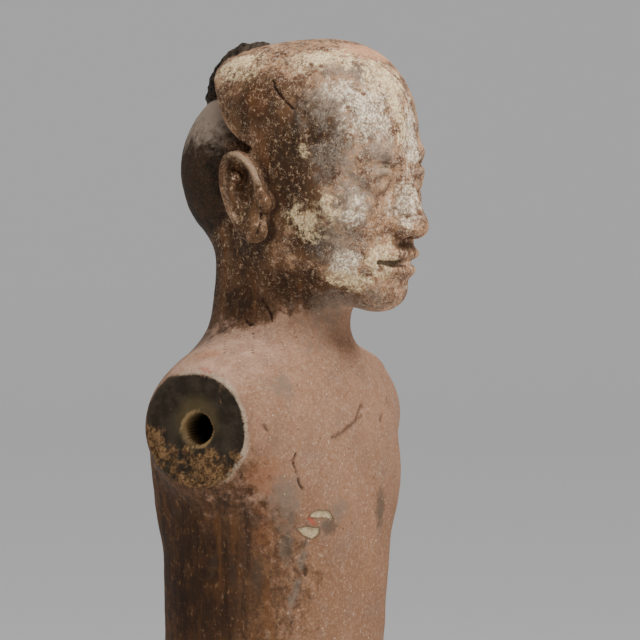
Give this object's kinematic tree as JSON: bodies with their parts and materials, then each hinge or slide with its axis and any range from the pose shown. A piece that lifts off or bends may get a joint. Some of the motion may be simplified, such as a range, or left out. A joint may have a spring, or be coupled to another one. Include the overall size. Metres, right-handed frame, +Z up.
{
  "type": "painted pottery horseman figure",
  "caption": "Worn painted pottery rider standing bow-legged on a low base, his arms lost and bored round seats left at the shoulders.",
  "frame": {"origin": "centre of the base's underside", "axes": "+Z up, the figure faces -Y, and +X is the figure's left"},
  "size_m": [0.1896, 0.1144, 0.5865],
  "materials": {
    "fired_clay": "matt fired clay with worn pink-grey slip, dark soil stains and pale lime crust"
  },
  "bodies": {
    "root": {"horseman_figure": "fired_clay"}
  },
  "joints": []
}
